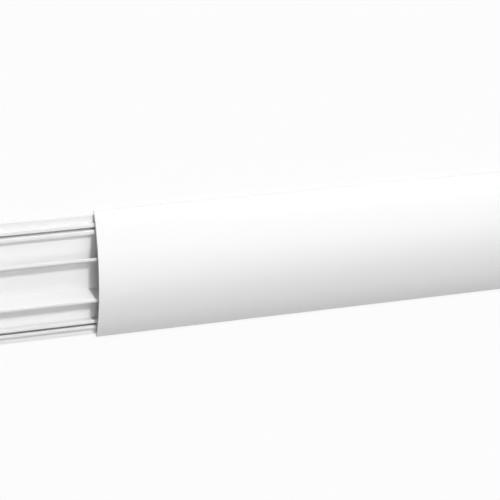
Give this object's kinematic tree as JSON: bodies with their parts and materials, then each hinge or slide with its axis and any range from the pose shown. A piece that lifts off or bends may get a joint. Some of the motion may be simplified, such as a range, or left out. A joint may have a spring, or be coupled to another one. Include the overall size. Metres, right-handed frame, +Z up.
{
  "type": "cord cover raceway",
  "caption": "Low floor raceway: a flat ribbed plastic base strip with cord channels, and a shallow domed cover that snaps into its grooves and slides along it.",
  "frame": {"origin": "centre of the flat back of the base strip", "axes": "+X along the length, from the bare end of the base to the end that the cover passes; +Y across the width; +Z up, out of the back, towards the crown of the cover"},
  "size_m": [1.1, 0.092, 0.0142],
  "materials": {
    "base_plastic": "white extruded PVC, satin",
    "cover_plastic": "white extruded PVC, smooth satin"
  },
  "bodies": {
    "base": {"base_channel": "base_plastic"},
    "cover": {"snap_cover": "cover_plastic"}
  },
  "joints": [
    {"name": "cover_slide", "type": "slide", "parent": "base", "child": "cover", "axis": [1, 0, 0], "range_m": [-0.1, 0.8]}
  ]
}
